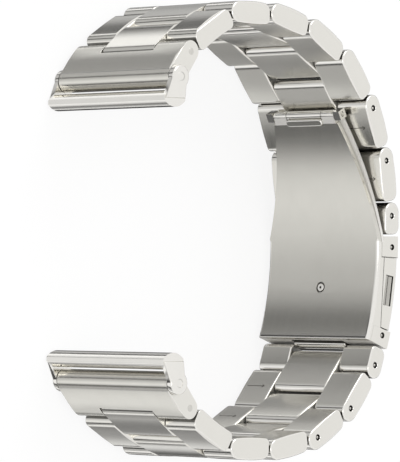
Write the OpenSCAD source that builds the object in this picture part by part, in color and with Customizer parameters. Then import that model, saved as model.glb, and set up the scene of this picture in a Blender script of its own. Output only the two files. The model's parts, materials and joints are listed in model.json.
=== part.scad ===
/* [Links] */
// Width of the bracelet across its links
strap_w = 22; // [18:0.5:26]
// Width of the middle piece of each link
centre_w = 10.4; // [8:0.1:12]
// Distance between the pins of a full link
link_pitch = 8.25; // [7:0.05:9]
// Distance between the pins of a short link beside the clasp
short_pitch = 4.65; // [4.5:0.05:6]
// Distance between the pins of the link with two tongues
double_pitch = 12; // [10:0.1:13]
// How far the link with two tongues bows outward at its middle
double_bow = 0.6; // [0:0.05:1]
// From the pin line to the inner face of a link
inner_t = 1.5; // [1.3:0.05:1.8]
// From the pin line to the outer face at the ends of a link
outer_t = 1.6; // [1.4:0.05:2]
// How much higher the outer face stands at the middle of a link
crown = 0.12; // [0:0.02:0.3]
// Gap between the side pieces of neighbouring links
link_gap = 0.7; // [0.5:0.05:1]
// Radius of the inner corner at the square end of a side piece
inner_corner_r = 0.8; // [0.3:0.05:1]
// Radius of the inner corner at the square end of a middle piece
centre_corner_r = 1.1; // [0.6:0.1:1.3]
// Radius of the inner corner at the tongue of a full link
tongue_corner_r = 0.6; // [0.5:0.1:1.5]
// Radius of the outer corner at the square end of a link
outer_corner_r = 1.2; // [0.6:0.1:1.3]
// Polished bevel along the outer edges of each piece
edge_bevel = 0.3; // [0.1:0.05:0.5]
// Clearance beside a tongue where it turns between side pieces
side_play = 0.1; // [0.05:0.01:0.2]

/* [Pins] */
// Radius of the link pins
pin_r = 0.5; // [0.4:0.05:0.6]
// Radial clearance of a pin in the piece that turns on it
pin_play = 0.05; // [0.02:0.01:0.1]
// Radial clearance of a pin in the pieces that hold it
pin_seat_play = 0.01; // [0.01:0.005:0.02]
// How deep a removable pin sits below the side face
pin_inset = 0.3; // [0.1:0.05:0.5]
// Thickness of the side wall that hides a fixed pin
pin_cover = 0.9; // [0.5:0.1:1.5]
// Radius of the recess round a removable pin
recess_r = 0.66; // [0.65:0.01:0.8]
// Depth of the recess round a removable pin
recess_depth = 0.5; // [0.3:0.1:0.8]

/* [Ends] */
// Distance from the pin of an end link to its adapter's ears
end_reach = 4.7; // [4.5:0.1:6]
// Radius of the tube that runs across an end link
tube_r = 1.65; // [1.5:0.05:1.7]
// Radius of an adapter's ear
ear_r = 1.65; // [1.5:0.05:1.7]
// Thickness of an adapter's ear
ear_w = 0.9; // [0.7:0.05:1.2]
// Clearance between an ear and the end link
ear_play = 0.1; // [0.1:0.01:0.2]
// Radius of the bar that joins an end link to its adapter
bar_pin_r = 0.6; // [0.5:0.05:0.7]
// Height of the slide bar
slide_h = 4.6; // [4:0.1:5.5]
// Thickness of the slide bar
slide_t = 2.4; // [2:0.1:3]
// From an ear's centre to the middle of the slide bar
slide_drop = 3.1; // [2.9:0.1:4]
// How far the slide bar's ends lie inside the ears' outer faces
slide_inset = 0.3; // [0:0.1:0.6]
// How far the slide bar lies behind the ears
slide_setback = 1; // [0.6:0.1:1.2]
// Width cut off each sharp edge of the slide bar
slide_blunt = 0.25; // [0.1:0.05:0.5]

/* [Clasp] */
// Radius of the inner face of the clasp plate
wrist_r = 41.4; // [36:0.2:46]
// Length along the plate from the arm's pin to the hinge
blade_l = 20; // [18:0.05:20.6]
// Length along the plate from the arm's pin to the latch box
box_setback = 1.52; // [1.4:0.02:1.8]
// Length of the latch box along the plate
box_l = 9.97; // [9.9:0.01:10.5]
// Length along the plate from the arm's pin to the catch post
latch_reach = 6.07; // [5.9:0.01:6.2]
// Length along the plate from the latch box to the plate's end pin
end_pin_reach = 0.87; // [0.85:0.01:1.2]
// Thickness of the clasp plate
plate_t = 0.8; // [0.6:0.05:1]
// Thickness of the folding arm
arm_t = 0.5; // [0.4:0.05:0.7]
// Gap between the plate and the closed arm
blade_gap = 0.06; // [0.05:0.01:0.1]
// Gap between the closed arm and the links that lie on it
rest_gap = 0.25; // [0.2:0.05:0.5]
// Radius of the hinge barrels
barrel_r = 0.68; // [0.64:0.01:0.72]
// Width of the arm's middle barrel
barrel_w = 6.8; // [5:0.1:8]
// Width of each of the plate's two barrels
knuckle_w = 2.5; // [2:0.1:3]
// Width of each square ear at the ends of the hinge
hinge_ear_w = 1.2; // [0.9:0.1:1.5]
// Side of each square ear at the ends of the hinge
hinge_ear_h = 1.4; // [1.3:0.05:1.5]
// How far the hinge line stands above the plate's inner face
hinge_rise = 0.68; // [0.64:0.01:0.72]
// Clearance round the hinge barrels and ears as they turn
hinge_play = 0.2; // [0.15:0.05:0.3]
// Radius of the hinge pin
hinge_pin_r = 0.35; // [0.25:0.05:0.4]
// Thickness of the flanges along the sides of the plate
flange_t = 0.9; // [0.7:0.05:1.2]
// Height of the flanges at their upper end, above the plate's inner face
flange_low = 1.4; // [1.3:0.1:1.6]
// Height of the flanges at their lower end, above the plate's inner face
flange_high = 2.4; // [2:0.1:2.8]
// Height of the latch box above the plate's inner face
box_rise = 4.3; // [4.1:0.1:4.6]
// Clearance between the latch box and the flanges
box_play = 0.1; // [0.1:0.01:0.2]
// Length of a push button
button_l = 4.4; // [3.6:0.1:4.8]
// Height of a push button
button_h = 1.55; // [1.2:0.05:1.6]
// Clearance round a push button
button_play = 0.06; // [0.05:0.01:0.1]
// Travel of a push button
button_travel = 0.8; // [0.5:0.1:0.9]
// Radius of the stem of the catch post
post_r = 0.85; // [0.7:0.05:0.95]
// Radius of the head of the catch post
post_head_r = 1.1; // [1:0.05:1.3]
// Clearance between the head of the post and the two claws
claw_play = 0.12; // [0.1:0.02:0.2]

/* [Hidden] */
$fn = 48;
FULL_UPPER_LINKS = [3, 4, 5, 6, 7, 8];
FULL_LOWER_LINKS = [3, 4, 5, 6];

STEEL = "#c9c5bb";
POLISHED = "#e6e3dc";
DARK_STEEL = "#8d8a83";
// Overlap that joins two shapes, and how far cutting shapes reach beyond the metal
weld = 0.01;
over = 1;
clear_r = 3;
clear_a = 20;
far = 200;

// Directions of the links as worn, in degrees, from the clasp round to the end.
// The first is the short link, the last the end link.
upper_headings = [180, 188.2, 201.1, 217.8, 239.1, 255.7, 269.5, 300, 320.7];
lower_headings = [340, 319.3, 299.2, 279.2, 267.9, 240.2, 220.7];

// Places on the clasp, in degrees about the centre of the plate's curve
function turn(length) = length / wrist_r * 180 / PI;
arm_pin_angle = 89;
hinge_angle = arm_pin_angle + turn(blade_l);
box_start_angle = arm_pin_angle - turn(box_setback);
latch_angle = arm_pin_angle - turn(latch_reach);
box_end_angle = box_start_angle - turn(box_l);
end_pin_angle = box_end_angle - turn(end_pin_reach);

side_w = (strap_w - centre_w) / 2;
nose_r = (inner_t + outer_t) / 2;
nose_lift = (outer_t - inner_t) / 2;
far_gap = nose_r + link_gap;
plate_outer_r = wrist_r + plate_t;
arm_inner_r = plate_outer_r + blade_gap;
arm_outer_r = arm_inner_r + arm_t;
pin_line_r = arm_outer_r + rest_gap + inner_t;
hinge_r = wrist_r + hinge_rise;
box_outer_r = wrist_r + box_rise;

// Square ends beside the clasp: from the pin to the face, the gap between two such
// faces, and the room round the tongue that turns there
closed_face = 1.75;
closed_gap = 0.3;
tongue_room = 0.4;
short_gap = closed_face + closed_gap / 2;

// Clearance round a tongue in an end link, and the rise of its web over the tube
pocket_play = 0.42;
web_rise = 0.2;
// How much lower an ear is than its round end and than the slide bar where it joins them
neck_drop = 0.35;
// Raised tab on the plate: angle from the hinge, height and half width
tab_angle = 1.85;
tab_rise = 0.3;
tab_r = 0.45;
hinge_pin_inset = 0.15;
// Angle left free between the latch box and the plate's end block
split_angle = 0.2;
// Hair's breadth under the latch box and the end block, which are fixed on the blades
box_seat_gap = 0.02;
mid_z = strap_w / 2;
// The ears stand outside the links, which lie this far above the lower ears' outer faces
lift = ear_w + ear_play;
// Across the hinge, from its middle: the plate's barrels, then the arm's square ears,
// and how far the arm's blade reaches under each ear
knuckle_in = barrel_w / 2 + side_play;
knuckle_end = knuckle_in + knuckle_w;
square_ear_in = knuckle_end + side_play;
square_ear_hold = 0.6;

// Inside of the latch box: along the clasp, outward from the arm, and across
cavity_l = 6.8;
cap_depth = 1.7;
cap_floor = 0.65;
cavity_top = cap_floor + button_h + button_play;
claw_t = 0.5;
claw_floor = 0.1;
// The claw's side plate, its foot, how far the foot reaches past the post, and the
// upright that joins it to the button
plate_in = 1.5;
plate_out = 2.6;
foot_w = 1;
foot_reach = 0.4;
upright_t = 0.6;
upright_h = 1;
button_inset = 0.1;
// Springs: pressed length, free length, size and place, and the ribs that back them
spring_stack = 2.1;
spring_l = spring_stack + button_travel;
spring_r = 0.6;
spring_wire = 0.2;
spring_u = 1.6;
spring_v = 1.35;
rib_t = 0.7;
rib_in = 0.6;
// Head of the catch post
claw_z = post_head_r + claw_play;
head_base = claw_floor + claw_t + box_play;
head_t = 0.65;
head_chamfer = 0.1;
post_room = 0.75;

function polar(r, a) = [r * cos(a), r * sin(a)];
function arc(c, r, a0, a1, n) =
    [for (i = [0:n]) c + polar(r, a0 + (a1 - a0) * i / n)];
function heading(a, b) = atan2(b.y - a.y, b.x - a.x);

// The pins in order from the clasp to the end: each lies one link further on
function walk(start, headings, lengths, n) =
    n == 0 ? start
    : walk(start, headings, lengths, n - 1) + polar(lengths[n - 1], headings[n - 1]);

upper_lengths = [
    short_pitch, link_pitch, link_pitch, link_pitch, link_pitch, link_pitch, link_pitch,
    double_pitch, end_reach
];
lower_lengths = [
    short_pitch, link_pitch, link_pitch, link_pitch, link_pitch, double_pitch, end_reach
];
arm_pin_at = polar(pin_line_r, arm_pin_angle);
end_pin_at = polar(pin_line_r, end_pin_angle);
hinge_at = polar(hinge_r, hinge_angle);
upper_pins = [for (i = [0:9]) walk(arm_pin_at, upper_headings, upper_lengths, i)];
lower_pins = [for (i = [0:7]) walk(end_pin_at, lower_headings, lower_lengths, i)];

// Side outline of a link from the pin in its round end, at 0, to its square end.
// nose_corner and corner_r are the inner corners at the two ends. The outer face is
// slightly crowned.
function link_outline(stop, nose_corner, corner_r) =
    let (
        top = outer_t,
        corner = [stop - outer_corner_r, top - outer_corner_r],
        mid = corner.x / 2
    )
    concat(
        arc([0, nose_lift], nose_r, 90, 180, 6),
        arc([nose_corner - nose_r, nose_corner - inner_t], nose_corner, 180, 270, 6),
        arc([stop - corner_r, corner_r - inner_t], corner_r, 270, 360, 5),
        arc(corner, outer_corner_r, 0, 90, 6),
        [for (i = [1:3]) [
            corner.x * (1 - i / 4),
            top + crown * (1 - pow((corner.x * (1 - i / 4) - mid) / mid, 2))
        ]]
    );

function side_outline(stop) = link_outline(stop, nose_r, inner_corner_r);

// The link with two tongues bows outward: its height over the line between its pins
function bow_at(s) = double_bow * (1 - pow(2 * s / double_pitch - 1, 2));
function bowed_edge(s0, s1, t, n) =
    [for (i = [0:n]) let (s = s0 + (s1 - s0) * i / n) [s, bow_at(s) + t]];
function bowed_corner(s, t, r, a0) = arc([s, bow_at(s) + t], r, a0, a0 + 90, 5);
function bowed_outline(s0, s1) =
    let (ri = inner_corner_r, ro = outer_corner_r)
    concat(
        bowed_corner(s0 + ri, ri - inner_t, ri, 180),
        bowed_edge(s0 + 2 * ri, s1 - 2 * ri, -inner_t, 4),
        bowed_corner(s1 - ri, ri - inner_t, ri, 270),
        bowed_corner(s1 - ro, outer_t - ro, ro, 0),
        bowed_edge(s1 - 1.5 * ro, s0 + 1.5 * ro, outer_t, 4),
        bowed_corner(s0 + ro, outer_t - ro, ro, 90)
    );

// Everything is set out round the centre of the clasp's curve, then moved so that the
// origin lies under the middle of the bracelet
function on_link(own, male, side, p) =
    own + polar(p.x, heading(own, male)) + side * polar(p.y, heading(own, male) + 90);
slide_front = -slide_setback - slide_h / 2 + slide_blunt;
edge_points = concat(
    [for (k = FULL_UPPER_LINKS) for (p = side_outline(link_pitch - far_gap))
        on_link(upper_pins[10 - k], upper_pins[9 - k], 1, p)],
    [for (k = FULL_LOWER_LINKS) for (p = side_outline(link_pitch - far_gap))
        on_link(lower_pins[8 - k], lower_pins[7 - k], -1, p)],
    [upper_pins[9] - [0, ear_r], lower_pins[7] - [0, ear_r]],
    [upper_pins[9] + [0, slide_front], lower_pins[7] + [0, slide_front]],
    [polar(pin_line_r, 90) + [0, outer_t]]
);
origin_x = (max([for (p = edge_points) p.x]) + min([for (p = edge_points) p.x])) / 2;
origin_y = (max([for (p = edge_points) p.y]) + min([for (p = edge_points) p.y])) / 2;

module placed() {
    translate([-origin_x, -origin_y, lift]) children();
}
module slab(z0, z1) {
    translate([0, 0, z0]) linear_extrude(z1 - z0) children();
}
module rod(at, r, z0, z1) {
    translate([at.x, at.y, z0]) cylinder(r = r, h = z1 - z0);
}

// Puts a link's outline where the link lies: own pin at 0, the other pin along X,
// the outer face up. The lower half is the upper half's mirror image.
module at_link(own, male, side) {
    translate([own.x, own.y, 0]) rotate([0, 0, heading(own, male)])
        if (side > 0) children(); else mirror([0, 1, 0]) children();
}
module upper_frame(k) {
    placed() at_link(upper_pins[10 - k], upper_pins[9 - k], 1) children();
}
module lower_frame(k) {
    placed() at_link(lower_pins[8 - k], lower_pins[7 - k], -1) children();
}

// A long prism along a link whose outer edges are bevelled
module bevelled_band(z0, z1, top, length) {
    translate([-far / 4, 0, 0]) rotate([90, 0, 90]) linear_extrude(length + far / 2)
        polygon([
            [-far / 4, z0], [top - edge_bevel, z0], [top, z0 + edge_bevel],
            [top, z1 - edge_bevel], [top - edge_bevel, z1], [-far / 4, z1]
        ]);
}
module bevelled_piece(points, z0, z1, top, length) {
    intersection() {
        slab(z0, z1) polygon(points);
        bevelled_band(z0, z1, top, length);
    }
}

// Hole for a pin that shows at the side face, with the recess round it
module open_pin_hole(at) {
    rod(at, pin_r + pin_seat_play, -over, strap_w + over);
    rod(at, recess_r, -over, recess_depth);
    rod(at, recess_r, strap_w - recess_depth, strap_w + over);
}
// Hole for a pin that stays hidden inside the side pieces
module blind_pin_hole(at) {
    rod(at, pin_r + pin_seat_play, pin_cover, strap_w - pin_cover);
}
module link_sides(pitch, gap, removable) {
    stop = pitch - gap;
    color(STEEL) difference() {
        union() {
            bevelled_piece(side_outline(stop), 0, side_w, outer_t + crown, pitch);
            bevelled_piece(side_outline(stop), strap_w - side_w, strap_w, outer_t + crown, pitch);
        }
        if (removable) open_pin_hole([0, 0]); else blind_pin_hole([0, 0]);
    }
}
// The middle piece is fixed between its own side pieces and reaches into the next
// link, where its tongue turns on that link's pin
module link_centre(pitch, tongue_corner) {
    z0 = side_w;
    z1 = strap_w - side_w;
    outline = link_outline(pitch - far_gap, tongue_corner, centre_corner_r);
    points = [for (p = outline) [pitch - p.x, p.y]];
    color(STEEL) difference() {
        bevelled_piece(points, z0, z1, outer_t + crown, pitch);
        for (z = [[z0 - over, z0 + side_play], [z1 - side_play, z1 + over]])
            slab(z[0], z[1]) translate([pitch - far_gap, -far / 4]) square([far, far / 2]);
        rod([pitch, 0], pin_r + pin_play, -over, strap_w + over);
    }
}
module link_pin(at, removable) {
    inset = removable ? pin_inset : pin_cover;
    color(DARK_STEEL) rod(at, pin_r, inset, strap_w - inset);
}

// The second link has a tongue at both ends
module double_sides() {
    points = bowed_outline(far_gap, double_pitch - far_gap);
    color(STEEL) for (z = [[0, side_w], [strap_w - side_w, strap_w]])
        bevelled_piece(points, z[0], z[1], outer_t + double_bow, double_pitch);
}
// Each of its two middle pieces reaches from a tongue at 0 to the middle of the link
module double_centre_half() {
    z0 = side_w;
    z1 = strap_w - side_w;
    ri = centre_corner_r;
    ro = outer_corner_r;
    stop = (double_pitch - link_gap) / 2;
    difference() {
        intersection() {
            slab(z0, z1) union() {
                polygon(concat(
                    bowed_edge(0, stop - 1.5 * ri, -inner_t, 6),
                    bowed_corner(stop - ri, ri - inner_t, ri, 270),
                    bowed_corner(stop - ro, outer_t - ro, ro, 0),
                    bowed_edge(stop - 1.5 * ro, 0, outer_t, 6)
                ));
                translate([0, nose_lift]) circle(nose_r);
            }
            bevelled_band(z0, z1, outer_t + double_bow, stop);
        }
        for (z = [[z0 - over, z0 + side_play], [z1 - side_play, z1 + over]])
            slab(z[0], z[1]) translate([far_gap - far, -far / 4]) square([far, far / 2]);
        rod([0, 0], pin_r + pin_play, -over, strap_w + over);
    }
}
module double_centre() {
    color(STEEL) {
        double_centre_half();
        translate([double_pitch, 0, 0]) mirror([1, 0, 0]) double_centre_half();
    }
}

// The end link is a tube across the whole width with a web to its own pin.
// In its frame its pin is at 0 and the adapter's ears at end_reach.
module end_link() {
    tongue_r = nose_r + pocket_play;
    color(STEEL) difference() {
        intersection() {
            slab(0, strap_w) union() {
                polygon(concat(
                    arc([0, nose_lift], nose_r, 90, 270, 12),
                    [
                        [end_reach, -tube_r], [end_reach, tube_r + web_rise / 2],
                        [end_reach / 2, tube_r + web_rise]
                    ]
                ));
                translate([end_reach, 0]) circle(tube_r);
            }
            bevelled_band(0, strap_w, tube_r + 1.5 * web_rise, end_reach);
        }
        // pocket for the tongue of the second link
        slab(side_w - side_play, strap_w - side_w + side_play) union() {
            circle(tongue_r);
            translate([-far / 4, -far / 4]) square([far / 4, far / 2]);
        }
        blind_pin_hole([0, 0]);
        rod([end_reach, 0], bar_pin_r + pin_play, -over, strap_w + over);
    }
}
module end_pin() {
    link_pin([0, 0], false);
}
module bar_pin() {
    color(DARK_STEEL) rod([end_reach, 0], bar_pin_r, pin_inset - lift, strap_w + lift - pin_inset);
}

// Adapter: two ears and the slide bar, in the bracelet's own frame.
// inward is the direction of X towards the middle of the bracelet.
module adapter(ear_at, inward) {
    bar_at = ear_at + [inward * slide_drop, -slide_setback];
    color(POLISHED) difference() {
        union() {
            for (z = [-lift, strap_w + ear_play])
                slab(z, z + ear_w) union() {
                    translate(ear_at) circle(ear_r);
                    polygon([
                        ear_at + [0, ear_r - neck_drop], bar_at + [0, slide_h / 2 - neck_drop],
                        bar_at - [0, slide_h / 2 - neck_drop], ear_at - [0, ear_r - neck_drop / 4]
                    ]);
                }
            slab(slide_inset - lift, strap_w + lift - slide_inset)
                translate(bar_at) slide_section();
        }
        rod(ear_at, bar_pin_r + pin_seat_play, -lift - over, strap_w + lift + over);
    }
}
// Lens-shaped section of the slide bar
module slide_section() {
    bulge = slide_t / 2;
    lens_r = (bulge * bulge + slide_h * slide_h / 4) / (2 * bulge);
    intersection() {
        translate([lens_r - bulge, 0]) circle(lens_r);
        translate([bulge - lens_r, 0]) circle(lens_r);
        square([slide_t, slide_h - 2 * slide_blunt], center = true);
    }
}

// Part of a ring about the centre of the clasp's curve
module sector(r0, r1, a0, a1) {
    difference() {
        intersection() {
            circle(r1, $fn = 180);
            polygon([[0, 0], polar(far, a0), polar(far, a1)]);
        }
        circle(r0, $fn = 180);
    }
}
// Outline of a blade seen from outside: full width below, tapering to half_w each side
// of its middle at the hinge
module taper_prism(half_w) {
    end_x = hinge_at.x - clear_r;
    slope = (mid_z - half_w) / -hinge_at.x;
    half_end = half_w - clear_r * slope;
    translate([0, far / 2, 0]) rotate([90, 0, 0]) linear_extrude(far)
        polygon([
            [far / 4, 0], [0, 0], [end_x, mid_z - half_end],
            [end_x, mid_z + half_end], [0, strap_w], [far / 4, strap_w]
        ]);
}
// The line where the latch box meets the flanges
flange_start = polar(wrist_r + flange_low, box_start_angle);
flange_stop = polar(wrist_r + flange_high, box_end_angle);
module below_parting(offset_t) {
    dir = heading(flange_start, flange_stop);
    shift = polar(offset_t, dir + 90);
    a = flange_start - polar(far / 4, dir) + shift;
    b = flange_stop + polar(far / 4, dir) + shift;
    polygon([a, b, b - polar(far, dir + 90), a - polar(far, dir + 90)]);
}

barrel_angle = asin((barrel_r + hinge_play) / hinge_r);
ear_angle = asin((hinge_ear_h / sqrt(2) + hinge_play) / hinge_r);
latch_frame_r = arm_outer_r;
module at_latch() {
    rotate([0, 0, latch_angle - 90]) translate([0, latch_frame_r, 0]) children();
}

module clasp_plate() {
    tab_at = hinge_angle - tab_angle;
    color(STEEL) placed() difference() {
        union() {
            intersection() {
                slab(0, strap_w) intersection() {
                    sector(wrist_r, plate_outer_r, box_end_angle - clear_a, hinge_angle);
                    before_end_face();
                }
                taper_prism(knuckle_end);
            }
            for (z = [[0, flange_t], [strap_w - flange_t, strap_w]])
                slab(z[0], z[1]) intersection() {
                    sector(wrist_r, box_outer_r, box_end_angle, box_start_angle);
                    below_parting(-box_play / 2);
                }
            for (z = [mid_z - knuckle_end, mid_z + knuckle_in])
                rod(hinge_at, barrel_r, z, z + knuckle_w);
            // raised tab just below the hinge
            intersection() {
                slab(mid_z - barrel_w / 2, mid_z + barrel_w / 2)
                    sector(wrist_r - tab_rise, wrist_r + plate_t / 2, tab_at - 1, tab_at + 1);
                rotate([0, 0, tab_at - 90]) translate([0, far / 2, mid_z])
                    rotate([90, 0, 0]) linear_extrude(far) tab_outline();
            }
        }
        // room for the arm's middle barrel and its two ears
        slab(mid_z - knuckle_in, mid_z + knuckle_in)
            hinge_sector(barrel_angle);
        for (z = [[-over, mid_z - knuckle_end], [mid_z + knuckle_end, strap_w + over]])
            slab(z[0], z[1]) hinge_sector(ear_angle);
        rod(hinge_at, hinge_pin_r + pin_seat_play, -over, strap_w + over);
        at_latch() translate([0, 0, mid_z]) rotate([90, 0, 0])
            cylinder(r = post_r + pin_seat_play, h = far / 4, center = true);
    }
}
// The blades are cut back to this far from the hinge line
module hinge_sector(below) {
    sector(wrist_r - clear_r, box_outer_r, hinge_angle - below, hinge_angle + clear_a);
}
module tab_outline() {
    square([2 * tab_r, barrel_w - 2 * tab_r], center = true);
    for (z = [-1, 1]) translate([0, z * (barrel_w / 2 - tab_r)]) circle(tab_r);
}

// Block behind the plate's lower end: two lugs and the wall between them
module plate_end_block() {
    color(STEEL) placed() difference() {
        union() {
            for (z = [[0, side_w], [strap_w - side_w, strap_w]])
                slab(z[0], z[1]) end_block_outline();
            slab(side_w, strap_w - side_w) intersection() {
                end_block_outline();
                circle(pin_line_r - nose_r - tongue_room, $fn = 180);
            }
        }
        open_pin_hole(end_pin_at);
    }
}
module end_block_outline() {
    intersection() {
        sector(
            plate_outer_r + box_seat_gap, pin_line_r + outer_t,
            end_pin_angle - clear_a, box_end_angle
        );
        before_end_face();
    }
}
// All that lies before the plate's end face, which stands square to the next link
module before_end_face() {
    translate(end_pin_at) rotate([0, 0, heading(end_pin_at, lower_pins[1])])
        translate([-far, -far / 2]) square([far + closed_face - closed_gap / 2, far]);
}
module plate_end_pin() {
    placed() link_pin(end_pin_at, true);
}

// Riveted post that the two claws grip
module catch_post() {
    color(DARK_STEEL) placed() at_latch() translate([0, 0, mid_z]) rotate([-90, 0, 0])
        rotate_extrude() polygon([
            [0, wrist_r - latch_frame_r], [post_r, wrist_r - latch_frame_r],
            [post_r, head_base], [post_head_r, head_base + head_chamfer],
            [post_head_r, head_base + head_t - 2 * head_chamfer],
            [post_head_r - 3 * head_chamfer, head_base + head_t], [0, head_base + head_t]
        ]);
}
module hinge_pin() {
    reach = square_ear_in + hinge_ear_w - hinge_pin_inset;
    color(DARK_STEEL) placed() rod(hinge_at, hinge_pin_r, mid_z - reach, mid_z + reach);
}

// Curved arm with its barrel and ears at the hinge and two lugs at its free end
module folding_arm() {
    flange_room = flange_t + box_play;
    color(STEEL) placed() difference() {
        union() {
            intersection() {
                slab(0, strap_w)
                    sector(arm_inner_r, arm_outer_r, box_end_angle + split_angle, hinge_angle);
                taper_prism(square_ear_in + square_ear_hold);
            }
            rod(hinge_at, barrel_r, mid_z - barrel_w / 2, mid_z + barrel_w / 2);
            for (z = [mid_z - square_ear_in - hinge_ear_w, mid_z + square_ear_in])
                slab(z, z + hinge_ear_w) hinge_ear();
            for (z = [[0, side_w], [strap_w - side_w, strap_w]])
                bevelled_lug(z[0], z[1]);
        }
        // room for the plate's barrels, for its flanges and for the post
        for (z = [mid_z - square_ear_in, mid_z + barrel_w / 2])
            slab(z, z + knuckle_w + side_play * 2) hinge_sector(barrel_angle);
        for (z = [[-over, flange_room], [strap_w - flange_room, strap_w + over]])
            slab(z[0], z[1]) sector(
                wrist_r, arm_outer_r + clear_r, box_end_angle - clear_a,
                box_start_angle + split_angle
            );
        rod(hinge_at, hinge_pin_r + pin_play, -over, strap_w + over);
        open_pin_hole(arm_pin_at);
        at_latch() translate([0, 0, mid_z]) rotate([90, 0, 0])
            cylinder(r = post_head_r + post_room, h = 2 * clear_r, center = true);
    }
}
module hinge_ear() {
    translate(hinge_at) rotate([0, 0, hinge_angle]) square(hinge_ear_h, center = true);
}
module bevelled_lug(z0, z1) {
    dir = heading(arm_pin_at, upper_pins[1]);
    intersection() {
        slab(z0, z1) intersection() {
            sector(
                arm_outer_r - weld, pin_line_r + outer_t,
                box_start_angle + split_angle / 2, arm_pin_angle + clear_a
            );
            translate(arm_pin_at) rotate([0, 0, dir])
                translate([-far, -far / 2]) square([far + closed_face - closed_gap / 2, far]);
        }
        placed_lug_band(z0, z1);
    }
}
module placed_lug_band(z0, z1) {
    translate([arm_pin_at.x, arm_pin_at.y, 0]) rotate([0, 0, arm_pin_angle - 90])
        bevelled_band(z0, z1, outer_t, link_pitch);
}
module arm_pin() {
    placed() link_pin(arm_pin_at, true);
}

// Latch box fixed on the free end of the arm, hollow for the two buttons
module latch_box() {
    inner_z = flange_t + box_play;
    color(STEEL) placed() difference() {
        union() {
            slab(0, strap_w) difference() {
                box_sector();
                below_parting(box_play / 2);
            }
            slab(inner_z, strap_w - inner_z) box_sector();
        }
        // room for the tongue of the link that turns on the plate's end pin
        slab(side_w - side_play, strap_w - side_w + side_play)
            translate(end_pin_at) circle(nose_r + tongue_room);
        at_latch() {
            // hollow, with a rib for each spring
            difference() {
                translate([-cavity_l / 2, -over, cap_depth])
                    cube([cavity_l, cavity_top + over, strap_w - 2 * cap_depth]);
                spring_rib(1);
                spring_rib(-1);
            }
            // windows for the buttons
            for (z = [-over, strap_w - cap_depth - over])
                translate([-button_l / 2 - button_play, cap_floor - button_play, z]) cube([
                    button_l + 2 * button_play, button_h + 2 * button_play,
                    cap_depth + 2 * over
                ]);
        }
    }
}
module box_sector() {
    sector(arm_outer_r + box_seat_gap, box_outer_r, box_end_angle + split_angle, box_start_angle);
}
// dir is 1 for the upper button, which is pushed towards -Z
module spring_rib(dir) {
    z = dir > 0 ? strap_w - cap_depth - spring_l - rib_t : cap_depth + spring_l;
    translate([dir > 0 ? -cavity_l / 2 - over : rib_in, -over, z])
        cube([cavity_l / 2 + over - rib_in, cavity_top + 2 * over, rib_t]);
}
module push_button(dir) {
    tip = mid_z - dir * (claw_z + foot_w);
    foot = mid_z - dir * claw_z;
    back = dir > 0 ? strap_w - cap_depth : cap_depth;
    face = dir > 0 ? strap_w - button_inset : button_inset;
    color(POLISHED) placed() at_latch() union() {
        translate([-button_l / 2, cap_floor, min(back, face)])
            cube([button_l, button_h, abs(face - back)]);
        // claw plate beside the post, and its foot beyond the post
        translate([dir > 0 ? plate_in : -plate_out, claw_floor, min(tip, back)])
            cube([plate_out - plate_in, claw_t, abs(back - tip)]);
        translate([dir > 0 ? plate_in : -plate_out, claw_floor, dir > 0 ? back - upright_t : back])
            cube([plate_out - plate_in, upright_h, upright_t]);
        translate([dir > 0 ? -foot_reach : -plate_out, claw_floor, min(tip, foot)])
            cube([plate_out + foot_reach, claw_t, foot_w]);
    }
}
module button_spring(dir) {
    z = dir > 0 ? strap_w - cap_depth - spring_l : cap_depth;
    color(DARK_STEEL) placed() at_latch() translate([-dir * spring_u, spring_v, z])
        difference() {
            cylinder(r = spring_r, h = spring_l);
            translate([0, 0, -over])
                cylinder(r = spring_r - spring_wire, h = spring_l + 2 * over);
        }
}

module upper_end_frame() {
    placed() at_link(upper_pins[8], upper_pins[9], -1) children();
}
module lower_end_frame() {
    placed() at_link(lower_pins[6], lower_pins[7], 1) children();
}
module upper_double_frame() {
    placed() at_link(upper_pins[8], upper_pins[7], 1) children();
}
module lower_double_frame() {
    placed() at_link(lower_pins[6], lower_pins[5], -1) children();
}

clasp_plate();
plate_end_block();
plate_end_pin();
catch_post();
hinge_pin();
folding_arm();
arm_pin();
latch_box();
push_button(1);  // upper_push_button
push_button(-1);  // lower_push_button
button_spring(1);  // upper_button_spring
button_spring(-1);  // lower_button_spring

placed() adapter(upper_pins[9], 1);  // upper_adapter
upper_end_frame() bar_pin();  // upper_bar_pin
upper_end_frame() end_link();  // upper_end_link
upper_end_frame() end_pin();  // upper_end_link_pin
upper_double_frame() double_sides();  // upper_link_2_sides
upper_double_frame() double_centre();  // upper_link_2_centre
for (k = FULL_UPPER_LINKS) {
    upper_frame(k) link_sides(link_pitch, far_gap, k > 6);
    upper_frame(k) link_centre(link_pitch, tongue_corner_r);
    upper_frame(k) link_pin([0, 0], k > 6);
}
upper_frame(9) link_sides(short_pitch, short_gap, true);  // upper_link_9_sides
upper_frame(9) link_centre(short_pitch, nose_r);  // upper_link_9_centre
upper_frame(9) link_pin([0, 0], true);  // upper_link_9_pin

placed() adapter(lower_pins[7], -1);  // lower_adapter
lower_end_frame() bar_pin();  // lower_bar_pin
lower_end_frame() end_link();  // lower_end_link
lower_end_frame() end_pin();  // lower_end_link_pin
lower_double_frame() double_sides();  // lower_link_2_sides
lower_double_frame() double_centre();  // lower_link_2_centre
for (k = FULL_LOWER_LINKS) {
    lower_frame(k) link_sides(link_pitch, far_gap, k > 4);
    lower_frame(k) link_centre(link_pitch, tongue_corner_r);
    lower_frame(k) link_pin([0, 0], k > 4);
}
lower_frame(7) link_sides(short_pitch, short_gap, true);  // lower_link_7_sides
lower_frame(7) link_centre(short_pitch, nose_r);  // lower_link_7_centre
lower_frame(7) link_pin([0, 0], true);  // lower_link_7_pin
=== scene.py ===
import json
import math

import bmesh
import bpy
from mathutils import Matrix, Vector


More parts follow.
